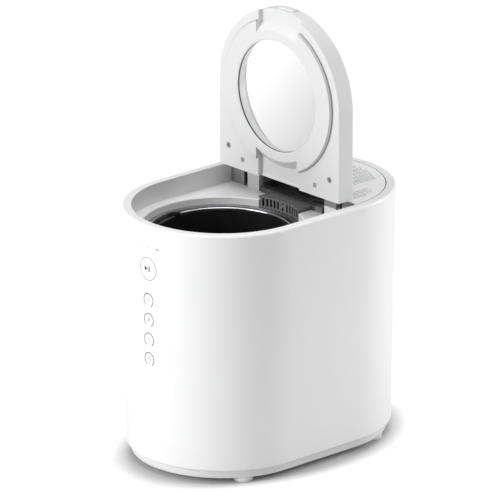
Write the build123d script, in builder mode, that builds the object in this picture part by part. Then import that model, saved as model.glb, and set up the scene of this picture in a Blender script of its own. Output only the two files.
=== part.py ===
"""Countertop electric food waste composter, with its lid standing open.

Frame: +X right, -Y front, +Z up, millimetres. The origin is the middle of the
footprint, on the surface that the composter stands on.
"""
import os
from math import atan, cos, degrees, radians, sin

from build123d import *

os.makedirs("parts", exist_ok=True)

# ------------------------------------------------------------------ clearances
running = 0.05      # radial clearance of a turning fit
seat = 0.2          # gap of pieces that are set into each other
gap = 0.4           # gap beside a piece that moves

# ------------------------------------------------------------- body and its base
body_width = 240.0
body_length = 356.0
rim_height = 312.0
foot_height = 6.0
shell_foot = 17.0        # lower edge of the outer shell
shell_draft = 4.5        # how much narrower each side is at the lower edge
shell_wall = 3.2
shell_floor = 3.0
rim_round = 2.6
lip_inset = 5.4          # base lip behind the lower edge of the shell
tray_wall = 3.0
tray_flange = 3.0
foot_radius = 12.0
foot_x = 86.0
foot_y = 104.0
foot_pocket = 1.0
foot_chamfer = 1.2

# ------------------------------------------------------------ deck, well, recess
recess_inset = 11.5      # recess wall behind the rim's outer edge
recess_depth = 24.0
deck_wall = 3.0
well_radius = 95.5
well_wall = 2.5
well_chamfer = 1.2
ledge_drop = 11.0        # ledge that carries the chamber liner, below the recess floor
ledge_height = 2.5
bulkhead_wall = 2.0
bulkhead_ahead = 1.35    # wall under the front edge of the rear cover, ahead of the hinge

# ------------------------------------------------------------------------- lid
lid_side_gap = 3.8       # between the closed lid and the wall of the recess
lid_straight = 109.0
lid_rise = 5.2           # lower edge of the open lid above the rim
lid_ahead = 0.2          # closed lid ahead of the axis of the well
tray_depth = 20.0
cover_thickness = 4.0
lid_wall = 2.5
boss_gap = 3.0           # between the boss of the lid and the wall of the well
boss_height = 4.0
window_radius = 69.7
channel_gap = 0.8        # between the channel of the lid and the shelf of the collar
channel_depth = 6.0
glass_thickness = 3.0
gasket_depth = 3.4
gasket_wall = 1.4
gasket_sink = 0.3
glass_lap = 12.3         # outer window beyond the inner one
outer_glass_thickness = 2.0
outer_glass_drop = 12.0  # outer window below the outer face of the lid
seal_proud = 1.8
seal_height = 2.5
seal_back = 0.5          # seal ahead of the lid's inner face
seal_deep = 1.0          # groove of the seal in the boss
lid_gap = 0.3            # closed lid above the recess floor
hinge_rise = 0.65        # axis of the hinge above the rim
pin_radius = 2.0
pin_sink = 1.0           # inner end of the pin inside the post
knuckle_radius = 3.9
post_inner = 57.6
post_outer = 78.0
post_radius = 3.55
arm_width = 7.0
screw_inset = 16.1       # lid screws inside the lid's side, above its lower edge
screw_rise = 25.8
screw_shank = 1.9
screw_head = 3.6
boss_wall = 2.4
head_depth = 1.8
screw_sink = 2.4         # seat of the lid screws below the lid's inner face
hex_radius = 1.8
magnet_x = 63.4
magnet_rise = 13.2
magnet_side = 5.6
magnet_depth = 2.8
socket_wall = 2.0
socket_deep = 4.0
catch_width = 26.0
catch_height = 9.0
catch_length = 9.0
catch_travel = 2.5
catch_proud = 1.0
catch_round = 1.2
guide_wall = 3.5
guide_floor = 2.0

# ------------------------------------------------------------ chamber and bucket
liner_radius = 86.5
liner_flange = 1.5
liner_wall = 1.5
liner_foot = 66.0
liner_floor = 2.0
liner_bead = 2.0
heater_radius = 80.0
heater_thickness = 5.0
jacket_wall = 5.5
jacket_lift = 6.0        # insulation above the foot of the liner and below the ledge
jacket_drop = 7.0
hub_hole = 14.0
bucket_radius = 80.0
bucket_wall = 1.2
rim_gap = 2.5            # between the bucket's rim and the liner
bucket_drop = 1.0        # bucket's rim below the ledge
bucket_floor = 2.0
rim_sheet = 2.0
bucket_foot_round = 8.0
bail_wire = 1.4
bail_gap = 0.3           # between the bail and the bucket's wall
bail_play = 0.12         # round the ends of the bail in their ears
ear_wall = 1.2
ear_width = 8.0
ear_height = 4.1
bush_radius = 11.0
bush_proud = 1.5         # above and below the bucket's floor
stub_radius = 7.0
stub_foot = 62.0
socket_side = 8.6
socket_depth = 9.0
column_radius = 9.0
column_top = 190.0
column_round = 4.0
arm_height = 8.0
arm_thick = 5.0
prong_radius = 3.0
prong_reach = 30.0
prong_levels = ((96.0, 30), (140.0, 90))

# --------------------------------------------------------------- vent collar
collar_wall = 2.2
collar_half = 35.0
collar_rise = 4.5        # above the recess floor
collar_lift = 1.8        # lower edge above the ledge
slot_width = 3.0
slot_pitch = 3.25        # degrees between slots
slot_first = 4.8         # degrees from the middle to the first slot
slot_count = 6
slot_lift = 3.3          # slots above the ledge
slot_height = 10.0
window_low = 4.0         # pair of small windows in the middle
window_high = 2.0
window_edge = 0.6
bar_half = 54.0
bar_ahead = 0.6          # cross bar ahead of the hinge posts
bar_depth = 9.0
bar_rise = 6.5

# --------------------------------------------------------------- rear cover
cover_gap = 0.8
cover_plate = 3.3
cover_behind = 0.85      # front edge behind the axis of the hinge
notch_play = 1.5
notch_deep = 3.2
ledge_width = 5.0
vent_margin = 10.0       # bare rim round the vents
vent_start = 13.0        # first row behind the front edge
vent_pitch = 2.6
vent_length = 5.4
vent_slot = 1.2
vent_step = 10.6
vent_half = 54.0         # half width of the middle field of vents
side_from = 71.0         # fields beside it, their start and length
side_long = 32.0
skirt_radius = 32.0      # twist ring that holds the filter under the cover
skirt_wall = 2.0
skirt_deep = 13.0
lug_height = 2.5
lug_reach = 2.4
lug_half = 20.0          # degrees

# ------------------------------------------------------------ filter and fan
filter_back = 61.0       # axis of filter and fan, from the rear end of the body
filter_radius = 42.0
bay_wall = 2.0
bay_depth = 92.0
bay_lip = 4.2
bay_hole = 6.0
bay_hole_ring = 24.0
bay_hole_count = 8
filter_height = 86.0
filter_round = 2.0
neck_wall = 2.5
grate_hole = 2.0
grate_step = 6.0
fan_radius = 34.0
fan_height = 26.0
fan_blades = 11
fan_hub = 8.0
fan_axle = 2.5
wheel_disc = 2.0
blade_wall = 1.6
fan_room = 44.0
volute_height = 54.0
volute_wall = 2.0
fan_motor_radius = 20.0
fan_motor_height = 24.0

# -------------------------------------------------------------------- drive
gearbox_width = 64.0
gearbox_ahead = 38.0     # ahead of the shaft
gearbox_behind = 30.0    # behind the motor
gearbox_top = 45.0
gearbox_round = 14.0
gearbox_edge = 2.0
gearbox_sole = 14.0
screw_deep = 10.0
motor_behind = 42.0      # motor behind the centre of the rear arc
motor_radius = 26.0
motor_height = 70.0
motor_round = 3.0
motor_boss = 8.0
motor_boss_high = 5.0
shaft_radius = 6.0
tip_side = 8.0
tip_height = 8.5
bearing_radius = 11.0
bearing_height = 8.0

# ------------------------------------------------------------- electric pieces
carrier_half = 16.0
carrier_drop = 54.0      # touch carrier below the rim
carrier_long = 133.0
carrier_room = 8.5       # its back, from the front end of the body
board_thickness = 1.6
board_edge = 2.0
chip_wide = 14.0
chip_high = 12.0
chip_thick = 2.2
chip_pitch = 30.0
inlet_z = 48.0
inlet_half = 15.0
inlet_high = 11.0
inlet_depth = 18.0
inlet_wall = 3.0
inlet_recess = 1.0
plug_wide = 22.0
plug_high = 12.0
pin_half_pitch = 4.3
plug_pin = 1.2
power_inset = 48.0       # middle of the power board inside the body's side
power_y = 30.0
power_long = 80.0
power_wide = 46.0
power_z = 24.0
standoff_radius = 3.0
standoff_inset = 5.0
trafo_long = 22.0
trafo_wide = 26.0
trafo_high = 20.0
capacitor_radius = 7.0
capacitor_x = 10.0
capacitor_y = 18.0
capacitor_high = 22.0

# ------------------------------------------------------------- derived places
draft_angle = degrees(atan(shell_draft / (rim_height - shell_foot)))
lip_total = shell_draft + lip_inset
deck_inset = shell_wall + seat
tray_floor = foot_height + tray_wall
arc_y = (body_length - body_width) / 2      # centre of the rear arc of the plan
well_y = -arc_y                             # well, bucket and drive share the front arc's axis
recess_floor = rim_height - recess_depth
deck_under = recess_floor - deck_wall
ledge_z = recess_floor - ledge_drop
lid_radius = body_width / 2 - recess_inset - lid_side_gap
boss_radius = well_radius - boss_gap
channel_half = collar_half + channel_gap
lid_foot = rim_height + lid_rise
lid_centre = lid_foot + lid_straight
hinge_z = rim_height + hinge_rise
hinge_y = well_y + lid_centre - hinge_z - lid_ahead
lid_front = hinge_y - (hinge_z - recess_floor - lid_gap)
lid_mid = lid_front + tray_depth
lid_back = lid_mid + cover_thickness
glass_front = lid_front - boss_height + gasket_depth
outer_glass_radius = window_radius + glass_lap
outer_glass_front = lid_back - outer_glass_drop - outer_glass_thickness
screw_x = lid_radius - screw_inset
screw_z = lid_foot + screw_rise
magnet_z = lid_foot + magnet_rise
post_front = hinge_y - post_radius
bar_front = post_front - bar_ahead
bar_top = recess_floor + bar_rise
collar_top = recess_floor + collar_rise
collar_foot = ledge_z + collar_lift
slot_low = ledge_z + slot_lift
bulkhead_y = hinge_y - bulkhead_ahead
cover_front = hinge_y + cover_behind
cover_under = rim_height - cover_plate
bucket_foot = liner_foot + liner_floor + seat
bucket_rim = liner_radius - rim_gap
bucket_top = ledge_z - bucket_drop
bail_radius = bucket_radius + bucket_wall + bail_gap
bail_z = bucket_top + bail_wire + seat
filter_y = body_length / 2 - filter_back
bay_radius = filter_radius + gap
bay_foot = recess_floor - bay_depth
filter_foot = bay_foot + bay_wall + seat
filter_top = filter_foot + filter_height
volute_foot = bay_foot - volute_height
motor_y = arc_y + motor_behind
gearbox_front = well_y - gearbox_ahead
gearbox_back = motor_y + gearbox_behind
carrier_back = -(body_length / 2 - carrier_room)
carrier_high = rim_height - carrier_drop
carrier_low = carrier_high - carrier_long
inlet_back = body_length / 2 - shell_draft - inlet_recess
power_x = -(body_width / 2 - power_inset)


def obround(inset, mode=Mode.ADD):
    """Plan outline of the body, moved in by inset."""
    SlotOverall(body_length - 2 * inset, body_width - 2 * inset, rotation=90, mode=mode)


def lid_outline(inset, mode=Mode.ADD):
    """Arched outline of the lid in the XZ plane, moved in by inset."""
    half = lid_radius - inset
    with BuildLine() as arch:
        Polyline((half, lid_centre), (half, lid_foot + inset), (-half, lid_foot + inset), (-half, lid_centre))
        ThreePointArc((-half, lid_centre), (0, lid_centre + half), (half, lid_centre))
    make_face(arch.edges(), mode=mode)


on_foot = (Align.CENTER, Align.CENTER, Align.MIN)


def at_y(y):
    """Upright XZ plane at y, its normal towards the front."""
    return Plane.XZ.offset(-y)


def at_x(x):
    """Upright YZ plane at x, its normal to the right."""
    return Plane.YZ.offset(x)


# ================================================================= outer shell
with BuildPart() as outer_shell:
    with BuildSketch(Plane.XY.offset(shell_foot)):
        obround(shell_draft)
    extrude(amount=rim_height - shell_foot, taper=-draft_angle)
    with BuildSketch(Plane.XY.offset(shell_foot + shell_floor)):
        obround(shell_draft + shell_wall)
    extrude(amount=rim_height - shell_foot - shell_floor, taper=-draft_angle, mode=Mode.SUBTRACT)
    with BuildSketch(Plane.XY.offset(shell_foot)):
        obround(lip_total - seat)
    extrude(amount=shell_floor, mode=Mode.SUBTRACT)
    top_edges = outer_shell.faces().sort_by(Axis.Z)[-1].outer_wire().edges()
    fillet(top_edges, rim_round)
    low_edges = outer_shell.faces().sort_by(Axis.Z)[0].outer_wire().edges()
    fillet(low_edges, shell_floor * 0.8)
    with BuildSketch(at_y(body_length / 2)):
        with Locations((0, inlet_z)):
            Rectangle(2 * (inlet_half + seat), 2 * (inlet_high + seat))
    extrude(amount=shell_wall + 2 * shell_draft, mode=Mode.SUBTRACT)
outer_shell.part.label = "outer_shell"
export_step(outer_shell.part, "parts/outer_shell.step")

# =================================================================== base tray
corners = [(sx, sy) for sx in (-1, 1) for sy in (-1, 1)]
feet = [(sx * foot_x, sy * foot_y) for sx, sy in corners]
screw_rows = (gearbox_front + gearbox_round, gearbox_back - gearbox_round)
screws = [(sx * gearbox_width * 0.3, y) for sx in (-1, 1) for y in screw_rows]
standoff_x = power_wide / 2 - standoff_inset
standoff_y = power_long / 2 - standoff_inset
standoffs = [(power_x + sx * standoff_x, power_y + sy * standoff_y) for sx, sy in corners]
with BuildPart() as base_tray:
    with BuildSketch(Plane.XY.offset(foot_height)):
        obround(lip_total)
    extrude(amount=shell_foot + shell_floor + tray_flange - foot_height)
    with BuildSketch(Plane.XY.offset(tray_floor)):
        obround(lip_total + tray_wall)
    extrude(amount=shell_foot + shell_floor + tray_flange - tray_floor, mode=Mode.SUBTRACT)
    with BuildSketch(Plane.XY.offset(shell_foot + shell_floor)):
        obround(shell_draft + shell_wall + seat)
        obround(lip_total + tray_wall, mode=Mode.SUBTRACT)
    extrude(amount=tray_flange)
    fillet(base_tray.faces().sort_by(Axis.Z)[0].outer_wire().edges(), tray_wall * 0.8)
    with BuildSketch(Plane.XY.offset(foot_height)):
        with Locations(*feet):
            Circle(foot_radius + running)
    extrude(amount=foot_pocket, mode=Mode.SUBTRACT)
    with BuildSketch(Plane.XY.offset(tray_floor)):
        with Locations(*standoffs):
            Circle(standoff_radius)
    extrude(amount=power_z - tray_floor)
    with Locations(Plane.XY.offset(foot_height)):
        with Locations(*screws):
            Cylinder(screw_head + seat, head_depth, align=on_foot, mode=Mode.SUBTRACT)
            Cylinder(screw_shank + running, tray_wall, align=on_foot, mode=Mode.SUBTRACT)
base_tray.part.label = "base_tray"
export_step(base_tray.part, "parts/base_tray.step")

with BuildPart() as foot_pads:
    with BuildSketch():
        with Locations(*feet):
            Circle(foot_radius)
    extrude(amount=foot_height + foot_pocket)
    chamfer(foot_pads.faces().filter_by(Axis.Z).group_by(Axis.Z)[0].edges(), foot_chamfer)
foot_pads.part.label = "foot_pads"
export_step(foot_pads.part, "parts/foot_pads.step")

# ==================================================================== top deck
with BuildPart() as top_deck:
    with BuildSketch(Plane.XY.offset(rim_height - deck_wall)):
        obround(deck_inset)
        obround(recess_inset, mode=Mode.SUBTRACT)
    extrude(amount=deck_wall)
    with BuildSketch(Plane.XY.offset(deck_under)):
        obround(recess_inset - deck_wall)
        obround(recess_inset, mode=Mode.SUBTRACT)
    extrude(amount=rim_height - deck_under)
    # floor of the recess
    with BuildSketch(Plane.XY.offset(deck_under)):
        obround(recess_inset - deck_wall)
    extrude(amount=deck_wall)
    # well with the ledge that carries the liner
    with BuildSketch(Plane.XY.offset(ledge_z - ledge_height)):
        with Locations((0, well_y)):
            Circle(well_radius + well_wall)
    extrude(amount=recess_floor - ledge_z + ledge_height)
    with BuildSketch(Plane.XY.offset(ledge_z)):
        with Locations((0, well_y)):
            Circle(well_radius)
    extrude(amount=recess_floor - ledge_z, mode=Mode.SUBTRACT)
    with BuildSketch(Plane.XY.offset(ledge_z - ledge_height)):
        with Locations((0, well_y)):
            Circle(liner_radius + liner_wall + seat)
    extrude(amount=ledge_height, mode=Mode.SUBTRACT)
    well_edges = top_deck.edges().filter_by(GeomType.CIRCLE).filter_by_position(
        Axis.Z, recess_floor - 0.01, recess_floor + 0.01
    ).filter_by(lambda e: abs(e.radius - well_radius) < 0.01)
    chamfer(well_edges, min(well_chamfer, (body_width / 2 - recess_inset - well_radius) * 0.4))
    # opening behind the vent collar
    with BuildSketch(Plane.XY.offset(ledge_z)):
        with Locations((0, bar_front)):
            notch_long = bar_front - well_y - well_radius / 2
            Rectangle(2 * (collar_half + seat), notch_long, align=(Align.CENTER, Align.MAX))
    extrude(amount=recess_floor - ledge_z, mode=Mode.SUBTRACT)
    # bulkhead under the front edge of the rear cover
    with BuildSketch(Plane.XY.offset(recess_floor)):
        with Locations((0, bulkhead_y)):
            Rectangle(body_width - 2 * recess_inset, bulkhead_wall, align=(Align.CENTER, Align.MIN))
        Rectangle(2 * (post_outer + arm_width + notch_play), body_length, mode=Mode.SUBTRACT)
    extrude(amount=cover_under - seat - recess_floor)
    # ledge under the rear cover
    with BuildSketch(Plane.XY.offset(cover_under - seat - deck_wall)):
        obround(recess_inset - seat)
        obround(recess_inset + ledge_width, mode=Mode.SUBTRACT)
        with Locations((0, bulkhead_y)):
            Rectangle(body_width, body_length, align=(Align.CENTER, Align.MAX), mode=Mode.SUBTRACT)
    extrude(amount=deck_wall)
    # opening for the filter bay
    with BuildSketch(Plane.XY.offset(deck_under)):
        with Locations((0, filter_y)):
            Circle(bay_radius + bay_wall + seat)
    extrude(amount=deck_wall, mode=Mode.SUBTRACT)
top_deck.part.label = "top_deck"
export_step(top_deck.part, "parts/top_deck.step")

# ================================================================= vent collar
with BuildPart() as vent_collar:
    with BuildSketch(Plane.XY.offset(collar_foot)):
        with Locations((0, well_y)):
            Circle(well_radius + collar_wall)
            Circle(well_radius, mode=Mode.SUBTRACT)
        with Locations((0, well_y)):
            Rectangle(2 * collar_half, 2 * well_radius, align=(Align.CENTER, Align.MIN), mode=Mode.INTERSECT)
    extrude(amount=collar_top - collar_foot)
    # shelf over the air duct
    with BuildSketch(Plane.XY.offset(recess_floor + seat)):
        with Locations((0, bar_front)):
            Rectangle(2 * collar_half, bar_front, align=(Align.CENTER, Align.MAX))
        with Locations((0, well_y)):
            Circle(well_radius, mode=Mode.SUBTRACT)
    extrude(amount=collar_top - recess_floor - seat)
    # cross bar behind the shelf
    with BuildSketch(Plane.XY.offset(recess_floor + seat)):
        with Locations((0, bar_front)):
            Rectangle(2 * bar_half, bar_depth, align=(Align.CENTER, Align.MIN))
    extrude(amount=bar_top - recess_floor - seat)
    # row of slots, with a pair of small windows in the middle
    for side in (-1, 1):
        for step in range(slot_count):
            angle = 90 + side * (slot_first + step * slot_pitch)
            plane = Plane(
                origin=(well_radius * cos(radians(angle)), well_y + well_radius * sin(radians(angle)), slot_low),
                x_dir=(-sin(radians(angle)), cos(radians(angle)), 0),
                z_dir=(0, 0, 1),
            )
            with Locations(plane):
                Box(slot_width, 4 * collar_wall, slot_height,
                    align=(Align.CENTER, Align.CENTER, Align.MIN), mode=Mode.SUBTRACT)
    upper_window = slot_low + slot_height - window_edge - window_high
    for low, height in ((slot_low, window_low), (upper_window, window_high)):
        with Locations((0, well_y + well_radius, low)):
            Box(slot_width, 4 * collar_wall, height,
                align=(Align.CENTER, Align.CENTER, Align.MIN), mode=Mode.SUBTRACT)
vent_collar.part.label = "vent_collar"
export_step(vent_collar.part, "parts/vent_collar.step")

# ========================================================================= lid
with BuildPart() as lid_tray:
    with BuildSketch(at_y(lid_mid)):
        lid_outline(0)
    extrude(amount=tray_depth)
    with BuildSketch(at_y(lid_mid)):
        lid_outline(lid_wall)
    extrude(amount=tray_depth - lid_wall, mode=Mode.SUBTRACT)
    # backing of the channel, then the boss that stands into the well
    with BuildSketch(at_y(lid_front + channel_depth + lid_wall)):
        lid_outline(lid_wall / 2)
        with Locations((0, lid_centre)):
            Rectangle(2 * (channel_half + lid_wall), 3 * lid_radius, mode=Mode.INTERSECT)
    extrude(amount=channel_depth + lid_wall / 2)
    with BuildSketch(at_y(lid_front + lid_wall)):
        with Locations((0, lid_centre)):
            Circle(boss_radius)
    extrude(amount=lid_wall + boss_height)
    with BuildSketch(at_y(lid_front + channel_depth)):
        with Locations((0, lid_centre)):
            Rectangle(2 * channel_half, 3 * lid_radius)
            Circle(boss_radius, mode=Mode.SUBTRACT)
    extrude(amount=channel_depth, mode=Mode.SUBTRACT)
    # round wall behind the window, up to the cover
    with BuildSketch(at_y(lid_mid)):
        with Locations((0, lid_centre)):
            Circle(outer_glass_radius + seat + lid_wall)
    extrude(amount=lid_mid - outer_glass_front + lid_wall)
    with BuildSketch(at_y(lid_mid)):
        with Locations((0, lid_centre)):
            Circle(window_radius + gasket_wall + lid_wall)
    extrude(amount=tray_depth - lid_wall)
    with BuildSketch(at_y(lid_mid)):
        with Locations((0, lid_centre)):
            Circle(outer_glass_radius + seat)
    extrude(amount=lid_mid - outer_glass_front, mode=Mode.SUBTRACT)
    with BuildSketch(at_y(lid_mid)):
        with Locations((0, lid_centre)):
            Circle(window_radius + gasket_wall)
    extrude(amount=lid_mid - glass_front, mode=Mode.SUBTRACT)
    with BuildSketch(at_y(lid_mid)):
        with Locations((0, lid_centre)):
            Circle(window_radius)
    extrude(amount=tray_depth + boss_height, mode=Mode.SUBTRACT)
    # groove of the seal round the boss
    with BuildSketch(at_y(lid_front - seal_back)):
        with Locations((0, lid_centre)):
            Circle(boss_radius + seal_deep)
            Circle(boss_radius - seal_deep, mode=Mode.SUBTRACT)
    extrude(amount=seal_height, mode=Mode.SUBTRACT)
    # guide of the catch at the tip
    with BuildSketch(at_y(lid_mid)):
        with Locations((0, lid_centre + lid_radius)):
            guide_long = catch_length + catch_travel + guide_wall + gap
            Rectangle(catch_width + 2 * (gap + lid_wall), 2 * guide_long)
            lid_outline(lid_wall / 2, mode=Mode.INTERSECT)
    extrude(amount=catch_height + gap + guide_floor)
    with BuildSketch(at_y(lid_mid)):
        with Locations((0, lid_centre + lid_radius)):
            Rectangle(catch_width + 2 * gap, 2 * (catch_length + catch_travel + gap))
    extrude(amount=catch_height + gap, mode=Mode.SUBTRACT)
    # sockets of screws and magnets
    with BuildSketch(at_y(lid_mid)):
        with Locations((-screw_x, screw_z), (screw_x, screw_z)):
            Circle(screw_head + boss_wall)
    extrude(amount=tray_depth - lid_wall)
    with BuildSketch(at_y(lid_front + lid_wall + socket_deep)):
        with Locations((-magnet_x, magnet_z), (magnet_x, magnet_z)):
            Rectangle(magnet_side + 2 * socket_wall, magnet_side + 2 * socket_wall)
    extrude(amount=socket_deep)
    with BuildSketch(at_y(lid_front)):
        with Locations((-magnet_x, magnet_z), (magnet_x, magnet_z)):
            Rectangle(magnet_side + 2 * running, magnet_side + 2 * running)
    extrude(amount=-socket_deep, mode=Mode.SUBTRACT)
    with BuildSketch(at_y(lid_front)):
        with Locations((-screw_x, screw_z), (screw_x, screw_z)):
            Circle(screw_head + seat)
    extrude(amount=-screw_sink, mode=Mode.SUBTRACT)
    with BuildSketch(at_y(lid_front)):
        with Locations((-screw_x, screw_z), (screw_x, screw_z)):
            Circle(screw_shank + running)
    extrude(amount=-tray_depth, mode=Mode.SUBTRACT)
lid_tray.part.label = "lid_tray"
export_step(lid_tray.part, "parts/lid_tray.step")

with BuildPart() as lid_cover:
    with BuildSketch(at_y(lid_back)):
        lid_outline(0)
        with Locations((0, lid_centre)):
            Circle(outer_glass_radius + seat, mode=Mode.SUBTRACT)
    extrude(amount=cover_thickness)
    fillet(lid_cover.faces().sort_by(Axis.Y)[-1].outer_wire().edges(), cover_thickness * 0.6)
    chamfer(lid_cover.faces().sort_by(Axis.Y)[-1].inner_wires()[0].edges(), cover_thickness * 0.35)
lid_cover.part.label = "lid_cover"
export_step(lid_cover.part, "parts/lid_cover.step")

with BuildPart() as window_outer:
    with BuildSketch(at_y(outer_glass_front + outer_glass_thickness)):
        with Locations((0, lid_centre)):
            Circle(outer_glass_radius)
    extrude(amount=outer_glass_thickness)
window_outer.part.label = "window_outer"
export_step(window_outer.part, "parts/window_outer.step")

with BuildPart() as window_inner:
    with BuildSketch(at_y(glass_front + glass_thickness)):
        with Locations((0, lid_centre)):
            Circle(window_radius + gasket_wall - seat)
    extrude(amount=glass_thickness)
window_inner.part.label = "window_inner"
export_step(window_inner.part, "parts/window_inner.step")

with BuildPart() as window_gasket:
    with BuildSketch(at_y(glass_front)):
        with Locations((0, lid_centre)):
            Circle(window_radius)
            Circle(window_radius - gasket_wall, mode=Mode.SUBTRACT)
    extrude(amount=gasket_depth - gasket_sink)
window_gasket.part.label = "window_gasket"
export_step(window_gasket.part, "parts/window_gasket.step")

with BuildPart() as lid_seal:
    with BuildSketch(at_y(lid_front - seal_back)):
        with Locations((0, lid_centre)):
            Circle(boss_radius + seal_proud)
            Circle(boss_radius - seal_deep, mode=Mode.SUBTRACT)
    extrude(amount=seal_height)
    outer_rings = lid_seal.edges().filter_by(GeomType.CIRCLE).filter_by(lambda e: e.radius > boss_radius)
    fillet(outer_rings, seal_height * 0.4)
lid_seal.part.label = "lid_seal"
export_step(lid_seal.part, "parts/lid_seal.step")

with BuildPart() as lid_screws:
    for side in (-1, 1):
        with BuildSketch(at_y(lid_front + screw_sink)):
            with Locations((side * screw_x, screw_z)):
                Circle(screw_head)
        extrude(amount=head_depth)
        with BuildSketch(at_y(lid_front + screw_sink)):
            with Locations((side * screw_x, screw_z)):
                Circle(screw_shank)
        extrude(amount=-(tray_depth - 3 * lid_wall))
        with BuildSketch(at_y(lid_front + screw_sink - head_depth)):
            with Locations((side * screw_x, screw_z)):
                RegularPolygon(hex_radius, 6)
        extrude(amount=-head_depth * 0.7, mode=Mode.SUBTRACT)
lid_screws.part.label = "lid_screws"
export_step(lid_screws.part, "parts/lid_screws.step")

with BuildPart() as lid_magnets:
    with BuildSketch(at_y(lid_front + socket_deep)):
        with Locations((-magnet_x, magnet_z), (magnet_x, magnet_z)):
            Rectangle(magnet_side, magnet_side)
    extrude(amount=magnet_depth)
lid_magnets.part.label = "lid_magnets"
export_step(lid_magnets.part, "parts/lid_magnets.step")

with BuildPart() as lid_catch:
    with BuildSketch(at_y(lid_mid - seat)):
        with Locations((0, lid_centre + lid_radius + catch_proud)):
            Rectangle(catch_width, catch_length, align=(Align.CENTER, Align.MAX))
    extrude(amount=catch_height)
    fillet(lid_catch.faces().sort_by(Axis.Z)[-1].edges(), catch_round)
lid_catch.part.label = "lid_catch"
export_step(lid_catch.part, "parts/lid_catch.step")

with BuildPart() as hinge_arms:
    for side in (-1, 1):
        inner = post_outer + seat if side > 0 else -(post_outer + seat + arm_width)
        with BuildSketch(at_x(inner)):
            with Locations((hinge_y, hinge_z)):
                Circle(knuckle_radius)
            with Locations((hinge_y - knuckle_radius * 1.9, lid_foot)):
                Rectangle(knuckle_radius * 2.6, lid_foot - hinge_z, align=(Align.MIN, Align.MAX))
            with Locations((hinge_y, hinge_z)):
                Circle(pin_radius + running, mode=Mode.SUBTRACT)
        extrude(amount=arm_width)
hinge_arms.part.label = "hinge_arms"
export_step(hinge_arms.part, "parts/hinge_arms.step")

with BuildPart() as hinge_posts:
    for side in (-1, 1):
        inner = post_inner if side > 0 else -post_outer
        with BuildSketch(at_x(inner)):
            with Locations((post_front, recess_floor)):
                Rectangle(2 * post_radius, hinge_z - recess_floor, align=(Align.MIN, Align.MIN))
            with Locations((hinge_y, hinge_z)):
                Circle(post_radius)
            with Locations((hinge_y, hinge_z)):
                Circle(pin_radius + running, mode=Mode.SUBTRACT)
        extrude(amount=post_outer - post_inner)
hinge_posts.part.label = "hinge_posts"
export_step(hinge_posts.part, "parts/hinge_posts.step")

with BuildPart() as hinge_pins:
    for side in (-1, 1):
        inner = post_inner + pin_sink if side > 0 else -(post_outer + seat + arm_width)
        with BuildSketch(at_x(inner)):
            with Locations((hinge_y, hinge_z)):
                Circle(pin_radius)
        extrude(amount=post_outer + seat + arm_width - post_inner - pin_sink)
hinge_pins.part.label = "hinge_pins"
export_step(hinge_pins.part, "parts/hinge_pins.step")

# =================================================================== rear cover
cover_inset = recess_inset + cover_gap
vent_radius = body_width / 2 - cover_inset - vent_margin
notch_x = (post_inner + post_outer + arm_width) / 2
notch_half = (post_outer - post_inner + arm_width) / 2 + notch_play
lug_turns = (90, 210, 330)


def lug(inner, outer, turn):
    """Sector of a twist ring about the filter's axis, centred on turn degrees."""
    with BuildLine() as edge:
        CenterArc((0, 0), inner, turn - lug_half, 2 * lug_half)
        CenterArc((0, 0), outer, turn - lug_half, 2 * lug_half)
        Line(edge.edges()[0] @ 0, edge.edges()[1] @ 0)
        Line(edge.edges()[0] @ 1, edge.edges()[1] @ 1)
    make_face(edge.edges())


def vent_places():
    """Centres of the short slots, in rows of which every other one is shifted by half a step."""
    places = []
    rows = int((arc_y + vent_radius - cover_front - vent_start) / vent_pitch)
    for row in range(rows):
        y = cover_front + vent_start + row * vent_pitch
        reach = (vent_radius ** 2 - max(0.0, y - arc_y) ** 2) ** 0.5 - vent_length / 2
        count = int(reach / vent_step) + 1
        columns = [vent_step * (i + 0.5 * (row % 2)) for i in range(-count, count)]
        for x in columns:
            in_middle = abs(x) <= min(reach, vent_half)
            in_side = side_from <= abs(x) <= reach and row * vent_pitch < side_long
            if in_middle or in_side:
                places.append((x, y))
    return places


with BuildPart() as rear_cover:
    with BuildSketch(Plane.XY.offset(cover_under)):
        obround(cover_inset)
        with Locations((0, cover_front)):
            Rectangle(body_width, body_length, align=(Align.CENTER, Align.MAX), mode=Mode.SUBTRACT)
        with Locations((-notch_x, cover_front), (notch_x, cover_front)):
            Rectangle(2 * notch_half, 2 * (knuckle_radius + notch_deep - cover_behind), mode=Mode.SUBTRACT)
    extrude(amount=cover_plate)
    with BuildSketch(Plane.XY.offset(cover_under)):
        with Locations(*vent_places()):
            Rectangle(vent_length, vent_slot)
    extrude(amount=cover_plate, mode=Mode.SUBTRACT)
    # twist ring for the filter
    with BuildSketch(Plane.XY.offset(cover_under)):
        with Locations((0, filter_y)):
            Circle(skirt_radius)
            Circle(skirt_radius - skirt_wall, mode=Mode.SUBTRACT)
    extrude(amount=-skirt_deep)
    for turn in lug_turns:
        with BuildSketch(Plane(origin=(0, filter_y, cover_under - skirt_deep), z_dir=(0, 0, 1))):
            lug(skirt_radius - skirt_wall - lug_reach, skirt_radius - skirt_wall / 2, turn)
        extrude(amount=lug_height)
rear_cover.part.label = "rear_cover"
export_step(rear_cover.part, "parts/rear_cover.step")

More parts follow.
